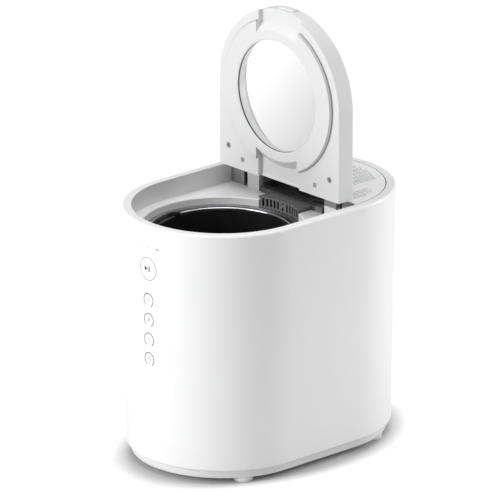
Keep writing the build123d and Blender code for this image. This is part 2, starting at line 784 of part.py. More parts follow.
# ========================================================= chamber and its heat
with BuildPart() as chamber_liner:
    with BuildSketch(Plane.XY.offset(liner_foot)):
        with Locations((0, well_y)):
            Circle(liner_radius + liner_wall)
    extrude(amount=ledge_z + liner_flange - liner_foot)
    with BuildSketch(Plane.XY.offset(ledge_z + seat)):
        with Locations((0, well_y)):
            Circle(well_radius - seat)
    extrude(amount=liner_flange)
    with BuildSketch(Plane.XY.offset(ledge_z)):
        with Locations((0, well_y)):
            Circle(liner_radius + liner_wall)
    extrude(amount=liner_flange + liner_bead)
    with BuildSketch(Plane.XY.offset(liner_foot + liner_floor)):
        with Locations((0, well_y)):
            Circle(liner_radius)
    extrude(amount=rim_height - liner_foot, mode=Mode.SUBTRACT)
    with BuildSketch(Plane.XY.offset(liner_foot)):
        with Locations((0, well_y)):
            Circle(hub_hole)
    extrude(amount=liner_floor, mode=Mode.SUBTRACT)
chamber_liner.part.label = "chamber_liner"
export_step(chamber_liner.part, "parts/chamber_liner.step")

with BuildPart() as heater_plate:
    with BuildSketch(Plane.XY.offset(liner_foot - heater_thickness)):
        with Locations((0, well_y)):
            Circle(heater_radius)
            Circle(hub_hole + 2, mode=Mode.SUBTRACT)
    extrude(amount=heater_thickness)
heater_plate.part.label = "heater_plate"
export_step(heater_plate.part, "parts/heater_plate.step")

with BuildPart() as insulation_jacket:
    with BuildSketch(Plane.XY.offset(liner_foot + jacket_lift)):
        with Locations((0, well_y)):
            Circle(liner_radius + liner_wall + seat + jacket_wall)
            Circle(liner_radius + liner_wall + seat, mode=Mode.SUBTRACT)
    extrude(amount=ledge_z - jacket_drop - liner_foot - jacket_lift)
insulation_jacket.part.label = "insulation_jacket"
export_step(insulation_jacket.part, "parts/insulation_jacket.step")

# ====================================================================== bucket
with BuildPart() as bucket:
    with BuildSketch(Plane(origin=(0, well_y, 0), x_dir=(1, 0, 0), z_dir=(0, -1, 0))) as wall_profile:
        outer = bucket_radius + bucket_wall
        with BuildLine():
            Polyline(
                (bush_radius, bucket_foot), (outer, bucket_foot),
                (outer, bucket_top - rim_sheet), (bucket_rim, bucket_top - rim_sheet),
                (bucket_rim, bucket_top), (bucket_radius, bucket_top),
                (bucket_radius, bucket_foot + bucket_floor), (bush_radius, bucket_foot + bucket_floor),
                close=True,
            )
        make_face()
        low_corners = wall_profile.vertices().filter_by_position(Axis.X, bucket_radius - 0.1, outer + 0.1)
        fillet(low_corners.group_by(Axis.Y)[0], bucket_foot_round)
        fillet(low_corners.group_by(Axis.Y)[1], bucket_foot_round - bucket_wall)
    revolve(axis=Axis((0, well_y, 0), (0, 0, 1)))
    # ears of the bail
    for side in (-1, 1):
        inner = side * (bucket_radius + bucket_wall / 2)
        with BuildSketch(at_x(inner - ear_wall / 2)):
            with Locations((well_y, bucket_top)):
                Rectangle(ear_width, 2 * ear_height)
            with Locations((well_y, bail_z)):
                Circle(bail_wire + bail_play, mode=Mode.SUBTRACT)
        extrude(amount=ear_wall)
bucket.part.label = "bucket"
export_step(bucket.part, "parts/bucket.step")

with BuildPart() as bucket_bush:
    with BuildSketch(Plane.XY.offset(bucket_foot - bush_proud)):
        with Locations((0, well_y)):
            Circle(bush_radius)
            Circle(stub_radius + running, mode=Mode.SUBTRACT)
    extrude(amount=bucket_floor + 2 * bush_proud)
bucket_bush.part.label = "bucket_bush"
export_step(bucket_bush.part, "parts/bucket_bush.step")

with BuildPart() as fixed_blades:
    for level, turn in prong_levels:
        for spoke in range(3):
            angle = radians(turn + 120 * spoke)
            root = bucket_radius - prong_radius ** 2 / bucket_radius
            plane = Plane(
                origin=(root * cos(angle), well_y + root * sin(angle), level),
                x_dir=(-sin(angle), cos(angle), 0),
                z_dir=(-cos(angle), -sin(angle), 0),
            )
            with BuildSketch(plane):
                Circle(prong_radius)
            extrude(amount=prong_reach)
fixed_blades.part.label = "fixed_blades"
export_step(fixed_blades.part, "parts/fixed_blades.step")

with BuildPart() as bucket_bail:
    with BuildLine(Plane.XY.offset(bail_z)):
        CenterArc((0, well_y), bail_radius + bail_wire, 0, 180)
    bail_end = (bail_radius + bail_wire, well_y, bail_z)
    with BuildSketch(Plane(origin=bail_end, x_dir=(1, 0, 0), z_dir=(0, 1, 0))):
        Circle(bail_wire)
    sweep()
    for side in (-1, 1):
        start = bucket_radius + bucket_wall / 2 - ear_wall
        with BuildSketch(at_x(side * start)):
            with Locations((well_y, bail_z)):
                Circle(bail_wire)
        extrude(amount=side * (bail_radius + bail_wire - start))
bucket_bail.part.label = "bucket_bail"
export_step(bucket_bail.part, "parts/bucket_bail.step")

# ======================================================================= rotor
column_foot = bucket_foot + bucket_floor + bush_proud + 3.5 * seat
arms = ((column_foot + 4 * seat, 76.0, 0), (118.0, 62.0, 60), (160.0, 58.0, 120))
with BuildPart() as rotor:
    with BuildSketch(Plane.XY.offset(column_foot)):
        with Locations((0, well_y)):
            Circle(column_radius)
    extrude(amount=column_top - column_foot)
    fillet(rotor.edges().group_by(Axis.Z)[-1], column_round)
    with BuildSketch(Plane.XY.offset(stub_foot)):
        with Locations((0, well_y)):
            Circle(stub_radius)
    extrude(amount=column_foot + seat - stub_foot)
    with BuildSketch(Plane.XY.offset(stub_foot)):
        with Locations((0, well_y)):
            Rectangle(socket_side, socket_side)
    extrude(amount=socket_depth, mode=Mode.SUBTRACT)
    for level, reach, turn in arms:
        for half in (0, 180):
            with BuildSketch(Plane(origin=(0, well_y, level), x_dir=(cos(radians(turn + half)),
                             sin(radians(turn + half)), 0), z_dir=(0, 0, 1))):
                with BuildLine():
                    Polyline((0, -arm_thick), (reach, -arm_thick * 0.3), (reach, arm_thick * 0.5),
                             (0, arm_thick), close=True)
                make_face()
            extrude(amount=arm_height)
rotor.part.label = "rotor"
export_step(rotor.part, "parts/rotor.step")

# ======================================================================= drive
with BuildPart() as gearbox:
    with BuildSketch(Plane.XY.offset(tray_floor)):
        with Locations((0, gearbox_front)):
            Rectangle(gearbox_width, gearbox_back - gearbox_front, align=(Align.CENTER, Align.MIN))
    extrude(amount=gearbox_top - tray_floor)
    fillet(gearbox.edges().filter_by(Axis.Z), gearbox_round)
    fillet(gearbox.edges().group_by(Axis.Z)[-1], gearbox_edge)
    with BuildSketch(Plane.XY.offset(gearbox_top)):
        with Locations((0, well_y)):
            Circle(shaft_radius + running)
    extrude(amount=-(gearbox_top - tray_floor - gearbox_sole), mode=Mode.SUBTRACT)
    with BuildSketch(Plane.XY.offset(tray_floor)):
        with Locations(*screws):
            Circle(screw_shank + running)
    extrude(amount=screw_deep, mode=Mode.SUBTRACT)
gearbox.part.label = "gearbox"
export_step(gearbox.part, "parts/gearbox.step")

with BuildPart() as shaft_bearing:
    with BuildSketch(Plane.XY.offset(gearbox_top)):
        with Locations((0, well_y)):
            Circle(bearing_radius)
            Circle(shaft_radius + running, mode=Mode.SUBTRACT)
    extrude(amount=bearing_height)
shaft_bearing.part.label = "shaft_bearing"
export_step(shaft_bearing.part, "parts/shaft_bearing.step")

with BuildPart() as drive_shaft:
    with BuildSketch(Plane.XY.offset(tray_floor + gearbox_sole + gap)):
        with Locations((0, well_y)):
            Circle(shaft_radius)
    extrude(amount=stub_foot - gap - tray_floor - gearbox_sole - gap)
    with BuildSketch(Plane.XY.offset(stub_foot - gap)):
        with Locations((0, well_y)):
            Rectangle(tip_side, tip_side)
    extrude(amount=tip_height)
drive_shaft.part.label = "drive_shaft"
export_step(drive_shaft.part, "parts/drive_shaft.step")

with BuildPart() as drive_motor:
    with BuildSketch(Plane.XY.offset(gearbox_top)):
        with Locations((0, motor_y)):
            Circle(motor_radius)
    extrude(amount=motor_height)
    fillet(drive_motor.edges().group_by(Axis.Z)[-1], motor_round)
    with BuildSketch(Plane.XY.offset(gearbox_top + motor_height)):
        with Locations((0, motor_y)):
            Circle(motor_boss)
    extrude(amount=motor_boss_high)
drive_motor.part.label = "drive_motor"
export_step(drive_motor.part, "parts/drive_motor.step")

# ============================================================== filter and fan
with BuildPart() as filter_bay:
    with BuildSketch(Plane.XY.offset(recess_floor)):
        with Locations((0, filter_y)):
            Circle(bay_radius + bay_wall + bay_lip)
        with Locations((0, bar_front + bar_depth + seat)):
            Rectangle(body_width, body_length, align=(Align.CENTER, Align.MAX), mode=Mode.SUBTRACT)
    extrude(amount=bay_wall)
    with BuildSketch(Plane.XY.offset(bay_foot)):
        with Locations((0, filter_y)):
            Circle(bay_radius + bay_wall)
    extrude(amount=recess_floor - bay_foot)
    with BuildSketch(Plane.XY.offset(bay_foot + bay_wall)):
        with Locations((0, filter_y)):
            Circle(bay_radius)
    extrude(amount=recess_floor - bay_foot, mode=Mode.SUBTRACT)
    with BuildSketch(Plane.XY.offset(bay_foot)):
        with Locations((0, filter_y)):
            with PolarLocations(bay_hole_ring, bay_hole_count):
                Circle(bay_hole)
    extrude(amount=bay_wall, mode=Mode.SUBTRACT)
filter_bay.part.label = "filter_bay"
export_step(filter_bay.part, "parts/filter_bay.step")

neck_radius = skirt_radius - skirt_wall - lug_reach - gap
neck_top = cover_under - skirt_deep + lug_height + gap
with BuildPart() as filter_canister:
    with BuildSketch(Plane.XY.offset(filter_foot)):
        with Locations((0, filter_y)):
            Circle(filter_radius)
    extrude(amount=filter_height)
    fillet(filter_canister.edges().filter_by(GeomType.CIRCLE), filter_round)
    # neck with its lugs, which hang on those of the cover
    with BuildSketch(Plane.XY.offset(filter_top)):
        with Locations((0, filter_y)):
            Circle(neck_radius)
    extrude(amount=neck_top + lug_height - filter_top)
    with BuildSketch(Plane.XY.offset(filter_top)):
        with Locations((0, filter_y)):
            Circle(neck_radius - neck_wall)
    extrude(amount=neck_top + lug_height - filter_top, mode=Mode.SUBTRACT)
    for turn in lug_turns:
        with BuildSketch(Plane(origin=(0, filter_y, neck_top), z_dir=(0, 0, 1))):
            lug(neck_radius - neck_wall / 2, skirt_radius - skirt_wall - gap, turn)
        extrude(amount=lug_height)
    # holes of the grate inside the neck
    with BuildSketch(Plane.XY.offset(filter_top)):
        with Locations((0, filter_y)):
            with GridLocations(grate_step, grate_step, 5, 5):
                Circle(grate_hole)
    extrude(amount=-filter_round * 2, mode=Mode.SUBTRACT)
filter_canister.part.label = "filter_canister"
export_step(filter_canister.part, "parts/filter_canister.step")

with BuildPart() as fan_housing:
    with BuildSketch(Plane.XY.offset(volute_foot)):
        with Locations((0, filter_y)):
            Circle(fan_room)
    extrude(amount=volute_height)
    with BuildSketch(Plane.XY.offset(volute_foot + volute_wall)):
        with Locations((0, filter_y)):
            Circle(fan_room - volute_wall)
    extrude(amount=volute_height - 2 * volute_wall, mode=Mode.SUBTRACT)
    with BuildSketch(Plane.XY.offset(bay_foot - volute_wall)):
        with Locations((0, filter_y)):
            Circle(bay_hole_ring + bay_hole)
    extrude(amount=volute_wall, mode=Mode.SUBTRACT)
fan_housing.part.label = "fan_housing"
export_step(fan_housing.part, "parts/fan_housing.step")

with BuildPart() as fan_motor:
    with BuildSketch(Plane.XY.offset(volute_foot + volute_wall)):
        with Locations((0, filter_y)):
            Circle(fan_motor_radius)
    extrude(amount=fan_motor_height - volute_wall)
    with BuildSketch(Plane.XY.offset(volute_foot + fan_motor_height)):
        with Locations((0, filter_y)):
            Circle(fan_axle)
    extrude(amount=fan_height / 2)
fan_motor.part.label = "fan_motor"
export_step(fan_motor.part, "parts/fan_motor.step")

with BuildPart() as fan_wheel:
    with BuildSketch(Plane.XY.offset(volute_foot + fan_motor_height + gap)):
        with Locations((0, filter_y)):
            Circle(fan_radius)
    extrude(amount=wheel_disc)
    with BuildSketch(Plane.XY.offset(volute_foot + fan_motor_height + gap)):
        with Locations((0, filter_y)):
            Circle(fan_hub)
    extrude(amount=fan_height / 2)
    with BuildSketch(Plane.XY.offset(volute_foot + fan_motor_height + gap)):
        with Locations((0, filter_y)):
            with PolarLocations(fan_radius * 0.75, fan_blades):
                Rectangle(fan_radius * 0.4, blade_wall, rotation=35)
    extrude(amount=fan_height - 2 * volute_wall)
    with BuildSketch(Plane.XY.offset(volute_foot + fan_motor_height + gap)):
        with Locations((0, filter_y)):
            Circle(fan_axle + running)
    extrude(amount=fan_height, mode=Mode.SUBTRACT)
fan_wheel.part.label = "fan_wheel"
export_step(fan_wheel.part, "parts/fan_wheel.step")

# ============================================================= electric pieces
carrier_inset = shell_draft * (rim_height - carrier_low) / (rim_height - shell_foot) + shell_wall + seat
with BuildPart() as touch_carrier:
    with BuildSketch(Plane.XY.offset(carrier_low)):
        obround(carrier_inset)
    extrude(amount=carrier_high - carrier_low, taper=-draft_angle)
    with Locations((0, carrier_back, carrier_low)):
        Box(2 * carrier_half, body_width / 4, carrier_long, align=(Align.CENTER, Align.MAX, Align.MIN),
            mode=Mode.INTERSECT)
touch_carrier.part.label = "touch_carrier"
export_step(touch_carrier.part, "parts/touch_carrier.step")

with BuildPart() as control_board:
    with BuildSketch(at_y(carrier_back + board_thickness)):
        with Locations((0, (carrier_low + carrier_high) / 2)):
            Rectangle(2 * carrier_half, carrier_long - 2 * board_edge)
    extrude(amount=board_thickness)
    for step in range(3):
        with BuildSketch(at_y(carrier_back + board_thickness)):
            with Locations((0, carrier_low + (step + 1) * chip_pitch)):
                Rectangle(chip_wide, chip_high)
        extrude(amount=-chip_thick)
control_board.part.label = "control_board"
export_step(control_board.part, "parts/control_board.step")

with BuildPart() as power_board:
    with BuildSketch(Plane.XY.offset(power_z)):
        with Locations((power_x, power_y)):
            Rectangle(power_wide, power_long)
    extrude(amount=board_thickness)
    with BuildSketch(Plane.XY.offset(power_z + board_thickness)):
        with Locations((power_x, power_y + power_long / 4)):
            Rectangle(trafo_wide, trafo_long)
    extrude(amount=trafo_high)
    with BuildSketch(Plane.XY.offset(power_z + board_thickness)):
        with Locations(*[(power_x + side * capacitor_x, power_y - capacitor_y) for side in (-1, 1)]):
            Circle(capacitor_radius)
    extrude(amount=capacitor_high)
power_board.part.label = "power_board"
export_step(power_board.part, "parts/power_board.step")

with BuildPart() as mains_inlet:
    with BuildSketch(at_y(inlet_back)):
        with Locations((0, inlet_z)):
            Rectangle(2 * inlet_half, 2 * inlet_high)
    extrude(amount=inlet_depth)
    with BuildSketch(at_y(inlet_back)):
        with Locations((0, inlet_z)):
            SlotOverall(plug_wide, plug_high)
    extrude(amount=inlet_depth - inlet_wall, mode=Mode.SUBTRACT)
mains_inlet.part.label = "mains_inlet"
export_step(mains_inlet.part, "parts/mains_inlet.step")

with BuildPart() as inlet_pins:
    with BuildSketch(at_y(inlet_back - inlet_depth + inlet_wall)):
        with Locations((-pin_half_pitch, inlet_z), (pin_half_pitch, inlet_z)):
            Circle(plug_pin)
    extrude(amount=-(inlet_depth - 2 * inlet_wall))
inlet_pins.part.label = "inlet_pins"
export_step(inlet_pins.part, "parts/inlet_pins.step")

with BuildPart() as base_screws:
    with BuildSketch(Plane.XY.offset(foot_height)):
        with Locations(*screws):
            Circle(screw_head)
    extrude(amount=head_depth)
    with BuildSketch(Plane.XY.offset(foot_height + head_depth)):
        with Locations(*screws):
            Circle(screw_shank)
    extrude(amount=screw_deep - 1)
base_screws.part.label = "base_screws"
export_step(base_screws.part, "parts/base_screws.step")
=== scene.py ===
"""Looks of the food waste composter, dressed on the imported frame. Metres, +Z up, front at -Y."""
from math import asin, cos, pi, radians, sin

import bmesh
import bpy
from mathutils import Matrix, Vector


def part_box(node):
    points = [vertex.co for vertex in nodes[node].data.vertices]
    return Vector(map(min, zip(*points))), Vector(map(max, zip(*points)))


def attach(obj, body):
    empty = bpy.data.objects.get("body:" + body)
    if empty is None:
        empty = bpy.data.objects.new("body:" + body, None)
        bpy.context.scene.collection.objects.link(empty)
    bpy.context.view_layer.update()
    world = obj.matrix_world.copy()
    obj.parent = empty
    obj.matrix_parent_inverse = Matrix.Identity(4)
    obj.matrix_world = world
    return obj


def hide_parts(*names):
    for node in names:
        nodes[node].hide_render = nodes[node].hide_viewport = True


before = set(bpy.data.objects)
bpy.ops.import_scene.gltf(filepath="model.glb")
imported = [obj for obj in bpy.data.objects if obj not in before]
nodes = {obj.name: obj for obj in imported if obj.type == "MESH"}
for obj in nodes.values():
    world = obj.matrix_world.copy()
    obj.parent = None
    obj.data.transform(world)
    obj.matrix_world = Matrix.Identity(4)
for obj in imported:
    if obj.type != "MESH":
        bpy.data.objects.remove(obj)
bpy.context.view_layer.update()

MM = 0.001


# ------------------------------------------------------------------ camera
AZIMUTH = radians(47.81)
ELEVATION = radians(19.21)
TARGET = Vector((-16.5, 0.0, 235.94)) * MM
DISTANCE = 9.0              # metres from the target
FOCAL_LENGTH = 544.3
SENSOR_WIDTH = 36.0
FAR_CLIP = 60.0
camera_data = bpy.data.cameras.new("camera")
camera_data.lens = FOCAL_LENGTH
camera_data.sensor_width = SENSOR_WIDTH
camera_data.clip_end = FAR_CLIP
camera = bpy.data.objects.new("camera", camera_data)
bpy.context.scene.collection.objects.link(camera)
back = Vector((sin(AZIMUTH) * cos(ELEVATION), -cos(AZIMUTH) * cos(ELEVATION), sin(ELEVATION)))
camera.location = TARGET + DISTANCE * back
camera.rotation_euler = (-back).to_track_quat("-Z", "Y").to_euler()
bpy.context.scene.camera = camera
bpy.context.scene.view_settings.view_transform = "Standard"


# ------------------------------------------------------------------ materials
DRIFT_SCALE = 14.0          # scales of noise: slow drift of shade on plastic
SMUDGE_SCALE = 60.0         # uneven gloss on plastic
CLOUD_SCALE = 30.0          # clouding of metal
HAZE_SCALE = 45.0           # haze of the window
PLASTIC_GLOSSIER, PLASTIC_DULLER = 0.04, 0.05      # how far roughness strays
METAL_GLOSSIER, METAL_DULLER = 0.07, 0.1
METAL_DARKER = 0.86
HAZE_DARKER = 0.94
WINDOW_IOR = 1.5
WINDOW_ROUGH = 0.03
WINDOW_DULLER = 0.03
WINDOW_SHADE_START = -0.50          # x - z in metres where the window's painted shade is lightest
WINDOW_SHADE_END = -0.33            # and where it is darkest
ZONE_EDGE = 0.1             # half the width of the change at a zone's bound


def new_material(name):
    """An empty node material with its Principled shader."""
    material = bpy.data.materials.new(name)
    material.use_nodes = True
    tree = material.node_tree
    shader = tree.nodes["Principled BSDF"]
    return material, tree, shader


def noise(tree, scale, detail, stretch=None):
    """Noise in object space, metres; stretch multiplies each coordinate."""
    coords = tree.nodes.new("ShaderNodeTexCoord")
    out = coords.outputs["Object"]
    if stretch:
        mapping = tree.nodes.new("ShaderNodeMapping")
        mapping.inputs["Scale"].default_value = stretch
        tree.links.new(out, mapping.inputs["Vector"])
        out = mapping.outputs["Vector"]
    texture = tree.nodes.new("ShaderNodeTexNoise")
    texture.inputs["Scale"].default_value = scale
    texture.inputs["Detail"].default_value = detail
    tree.links.new(out, texture.inputs["Vector"])
    return texture.outputs["Fac"]


def ranged(tree, source, low, high, start=0.3, end=0.7):
    """The source mapped from start..end to low..high."""
    node = tree.nodes.new("ShaderNodeMapRange")
    node.inputs["From Min"].default_value = start
    node.inputs["From Max"].default_value = end
    node.inputs["To Min"].default_value = low
    node.inputs["To Max"].default_value = high
    tree.links.new(source, node.inputs["Value"])
    return node.outputs["Result"]


def blend_colour(tree, factor, first, second):
    """A colour between first and second."""
    mix = tree.nodes.new("ShaderNodeMix")
    mix.data_type = "RGBA"
    mix.inputs["A"].default_value = (*first, 1.0)
    if isinstance(second, tuple):
        mix.inputs["B"].default_value = (*second, 1.0)
    else:
        tree.links.new(second, mix.inputs["B"])
    tree.links.new(factor, mix.inputs["Factor"])
    return mix.outputs["Result"]


def bumped(tree, shader, source, distance):
    """Bump on the shader from the source."""
    bump = tree.nodes.new("ShaderNodeBump")
    bump.inputs["Distance"].default_value = distance
    tree.links.new(source, bump.inputs["Height"])
    tree.links.new(bump.outputs["Normal"], shader.inputs["Normal"])


def plastic(name, colour, rough, grain, depth, tint=0.03, specular=0.5):
    """Moulded plastic: fine grain, with a slow drift of shade and uneven gloss."""
    material, tree, shader = new_material(name)
    drift = noise(tree, DRIFT_SCALE, detail=3.0)
    darker = tuple(c * (1 - tint) for c in colour)
    shader.inputs["Specular IOR Level"].default_value = specular
    shade = blend_colour(tree, ranged(tree, drift, 0.0, 1.0), darker, colour)
    tree.links.new(shade, shader.inputs["Base Color"])
    fine = noise(tree, grain, detail=4.0)
    smudge = noise(tree, SMUDGE_SCALE, detail=4.0)
    gloss = ranged(tree, smudge, rough - PLASTIC_GLOSSIER, rough + PLASTIC_DULLER)
    tree.links.new(gloss, shader.inputs["Roughness"])
    bumped(tree, shader, fine, depth * MM)
    return material


def metal(name, colour, rough=0.28, stretch=(40.0, 40.0, 1.0), scale=60.0, depth=0.004):
    """Metal with a grain that runs along the axes where stretch is least."""
    material, tree, shader = new_material(name)
    shader.inputs["Metallic"].default_value = 1.0
    grain = noise(tree, scale, detail=5.0, stretch=stretch)
    cloud = noise(tree, CLOUD_SCALE, detail=3.0)
    darker = tuple(c * METAL_DARKER for c in colour)
    shade = blend_colour(tree, ranged(tree, cloud, 0.0, 1.0), darker, colour)
    tree.links.new(shade, shader.inputs["Base Color"])
    gloss = ranged(tree, grain, rough - METAL_GLOSSIER, rough + METAL_DULLER)
    tree.links.new(gloss, shader.inputs["Roughness"])
    bumped(tree, shader, grain, depth * MM)
    return material


def glass(name, tint, least_shade, most_shade):
    """Clear moulded window, with a dark painted shade that deepens from its upper left to its lower
    right.
    """
    material, tree, shader = new_material(name)
    shader.inputs["IOR"].default_value = WINDOW_IOR
    haze = noise(tree, HAZE_SCALE, detail=3.0)
    darker = tuple(c * HAZE_DARKER for c in tint)
    shade = blend_colour(tree, ranged(tree, haze, 0.0, 1.0), darker, tint)
    tree.links.new(shade, shader.inputs["Base Color"])
    gloss = ranged(tree, haze, WINDOW_ROUGH, WINDOW_ROUGH + WINDOW_DULLER)
    tree.links.new(gloss, shader.inputs["Roughness"])
    coords = tree.nodes.new("ShaderNodeTexCoord")
    split = tree.nodes.new("ShaderNodeSeparateXYZ")
    across = tree.nodes.new("ShaderNodeMath")
    across.operation = "SUBTRACT"
    tree.links.new(coords.outputs["Object"], split.inputs["Vector"])
    tree.links.new(split.outputs["X"], across.inputs[0])
    tree.links.new(split.outputs["Z"], across.inputs[1])
    # painted shade: more of the dark tint shows towards the window's lower right
    painted_shade = ranged(tree, across.outputs["Value"], least_shade, most_shade, WINDOW_SHADE_START, WINDOW_SHADE_END)
    tree.links.new(painted_shade, shader.inputs["Alpha"])
    return material


def with_zone(material, colour, bounds):
    """Another colour where each axis is on its side of its bound: (axis, way, millimetres)."""
    tree = material.node_tree
    shader = tree.nodes["Principled BSDF"]
    plain = shader.inputs["Base Color"].links[0].from_socket
    coords = tree.nodes.new("ShaderNodeTexCoord")
    split = tree.nodes.new("ShaderNodeSeparateXYZ")
    tree.links.new(coords.outputs["Object"], split.inputs["Vector"])
    zone = None
    for axis, way, bound in bounds:
        low, high = (0.0, 1.0) if way == "above" else (1.0, 0.0)
        start, end = (bound - ZONE_EDGE) * MM, (bound + ZONE_EDGE) * MM
        side = ranged(tree, split.outputs[axis], low, high, start, end)
        if zone is not None:
            both = tree.nodes.new("ShaderNodeMath")
            both.operation = "MULTIPLY"
            tree.links.new(zone, both.inputs[0])
            tree.links.new(side, both.inputs[1])
            side = both.outputs["Value"]
        zone = side
    mixed = tree.nodes.new("ShaderNodeMix")
    mixed.data_type = "RGBA"
    tree.links.new(zone, mixed.inputs["Factor"])
    tree.links.new(plain, mixed.inputs["A"])
    mixed.inputs["B"].default_value = (*colour, 1.0)
    tree.links.new(mixed.outputs["Result"], shader.inputs["Base Color"])


WHITE = plastic("shell_white", (0.86, 0.862, 0.865),
                rough=0.34, grain=1500.0, depth=0.01, tint=0.015)
DECK = plastic("deck_white", (0.80, 0.80, 0.80), rough=0.42, grain=1300.0, depth=0.014, tint=0.02)
LID = plastic("lid_white", (0.73, 0.732, 0.735), rough=0.36, grain=1500.0, depth=0.01, tint=0.015)
# painted light: the lid's tube wall round the window gets a paler copy of the lid's plastic,
# standing for light on it
TUBE_PAINTED_LIGHT = plastic("lid_tube_painted_light", (0.97, 0.972, 0.975),
               rough=0.3, grain=1500.0, depth=0.01, tint=0.01)
BULKHEAD_Y = 53.4           # front of the bulkhead under the hinge; millimetres, as the rest
BULKHEAD_TOP = 308.6
BULKHEAD_END = 74.0
HINGE_END = 78.0            # where the hinge's end blocks start on either side
# bounds of the painted shade on the bulkhead past the right hinge end
END_SHADE_TOP, END_SHADE_FOOT = 309.5, 303.0
on_bulkhead = ("Y", "above", BULKHEAD_Y)
under_top = ("Z", "below", BULKHEAD_TOP)
# painted shade: the bulkhead's front under the lid is painted near black, up to the right hinge end
with_zone(DECK, (0.045, 0.045, 0.046), [on_bulkhead, under_top, ("X", "below", BULKHEAD_END)])
# painted shade: a grey band on the bulkhead past the right hinge end
with_zone(DECK, (0.2, 0.2, 0.205), [on_bulkhead, ("Z", "below", END_SHADE_TOP), ("Z", "above", END_SHADE_FOOT),
                                    ("X", "above", HINGE_END)])
# painted shade: the bulkhead under the lid past the left hinge end is painted grey
with_zone(DECK, (0.22, 0.22, 0.225), [on_bulkhead, under_top, ("X", "below", -HINGE_END)])
POST_CHANGE_Z = 299.0       # the right post is painted darker above this height, as shade under the lid, and pale below it
POST = plastic("hinge_grey", (0.5, 0.5, 0.505), rough=0.45, grain=1300.0, depth=0.016)
# painted shade on the upper part of the right post
with_zone(POST, (0.25, 0.25, 0.26), [("X", "above", 0.0), ("Z", "above", POST_CHANGE_Z)])
with_zone(POST, (0.8, 0.8, 0.8), [("X", "above", 0.0), ("Z", "below", POST_CHANGE_Z)])
HINGE_DARK = plastic("hinge_dark", (0.22, 0.22, 0.225), rough=0.42, grain=1300.0, depth=0.016)
SCREW = plastic("screw_cap", (0.3, 0.3, 0.305), rough=0.35, grain=900.0, depth=0.01)
MAGNET = plastic("magnet_cap", (0.36, 0.36, 0.365), rough=0.45, grain=1200.0, depth=0.012)
TRAY = plastic("tray_grey", (0.76, 0.76, 0.76), rough=0.45, grain=1200.0, depth=0.02)
COLLAR = plastic("collar_grey", (0.16, 0.16, 0.165), rough=0.5, grain=1300.0, depth=0.02)
# painted shade: the back of the collar under the lid is painted near black, all but its right end
SHELF_BACK_Y, SHELF_FOOT, SHELF_END = 50.8, 287.0, 42.0
with_zone(COLLAR, (0.055, 0.055, 0.057), [("Y", "above", SHELF_BACK_Y), ("Z", "above", SHELF_FOOT),
                                          ("X", "below", SHELF_END)])
RUBBER = plastic("rubber_dark", (0.03, 0.03, 0.032),
                 rough=0.68, grain=900.0, depth=0.03, tint=0.1, specular=0.3)
FOOT = plastic("foot_white", (0.8, 0.8, 0.79),
               rough=0.6, grain=900.0, depth=0.03, tint=0.04, specular=0.3)
RUBBER_LIGHT = plastic("rubber_light", (0.5, 0.5, 0.49),
                       rough=0.62, grain=900.0, depth=0.03, tint=0.04, specular=0.3)
BLACK = plastic("black_plastic", (0.025, 0.025, 0.027),
                rough=0.45, grain=1200.0, depth=0.02, tint=0.1)
BOARD = plastic("board_green", (0.02, 0.12, 0.05), rough=0.4, grain=2200.0, depth=0.02, tint=0.15)
INSULATION = plastic("insulation", (0.55, 0.54, 0.5),
                     rough=0.9, grain=500.0, depth=0.4, tint=0.12, specular=0.2)
FILTER = plastic("filter_dark", (0.05, 0.05, 0.055), rough=0.6, grain=700.0, depth=0.05, tint=0.12)
GEARBOX = metal("gearbox_metal", (0.42, 0.43, 0.44),
                rough=0.5, stretch=(1.0, 1.0, 1.0), scale=900.0, depth=0.02)
STEEL = metal("steel", (0.62, 0.62, 0.63), rough=0.26)
CHROME = metal("chrome", (0.78, 0.78, 0.8),
               rough=0.14, stretch=(1.0, 30.0, 30.0), scale=60.0, depth=0.002)
BRONZE = metal("bronze", (0.55, 0.38, 0.18), rough=0.32)
LINER = metal("liner_metal", (0.45, 0.45, 0.46),
              rough=0.34, stretch=(1.0, 1.0, 60.0), scale=40.0, depth=0.004)
BUCKET = plastic("bucket_black", (0.014, 0.014, 0.015),
                 rough=0.33, grain=1500.0, depth=0.01, tint=0.1, specular=0.5)
# the window's painted shade runs from least_shade at its upper left to most_shade at its lower
# right
GLASS = glass("glass_clear", (0.16, 0.162, 0.165), least_shade=0.015, most_shade=0.155)
INK = plastic("ink_black", (0.012, 0.012, 0.013), rough=0.4, grain=900.0, depth=0.004, tint=0.1)
INK_GREY = plastic("ink_grey", (0.2, 0.2, 0.205), rough=0.45, grain=900.0, depth=0.004, tint=0.08)
INK_PALE = plastic("ink_pale", (0.5, 0.5, 0.505), rough=0.45, grain=900.0, depth=0.004, tint=0.05)

finishes = {
    "outer_shell": WHITE, "base_tray": TRAY, "foot_pads": FOOT, "top_deck": DECK,
    "vent_collar": COLLAR, "hinge_posts": POST, "hinge_pins": STEEL, "chamber_liner": LINER,
    "heater_plate": STEEL, "insulation_jacket": INSULATION, "gearbox": GEARBOX,
    "shaft_bearing": BRONZE,
    "drive_motor": STEEL, "filter_bay": DECK, "fan_housing": BLACK, "fan_motor": STEEL,
    "touch_carrier": BLACK, "control_board": BOARD, "power_board": BOARD, "mains_inlet": BLACK,
    "inlet_pins": CHROME, "base_screws": STEEL, "lid_tray": LID, "lid_cover": LID,
    "window_outer": GLASS, "window_inner": GLASS, "window_gasket": RUBBER, "lid_seal": RUBBER_LIGHT,
    "lid_screws": SCREW, "lid_magnets": MAGNET, "hinge_arms": HINGE_DARK, "lid_catch": LID,
    "bucket": BUCKET, "bucket_bush": BRONZE, "fixed_blades": STEEL, "bucket_bail": CHROME,
    "rotor": STEEL, "drive_shaft": STEEL, "fan_wheel": BLACK, "rear_cover": WHITE,
    "filter_canister": FILTER,
}
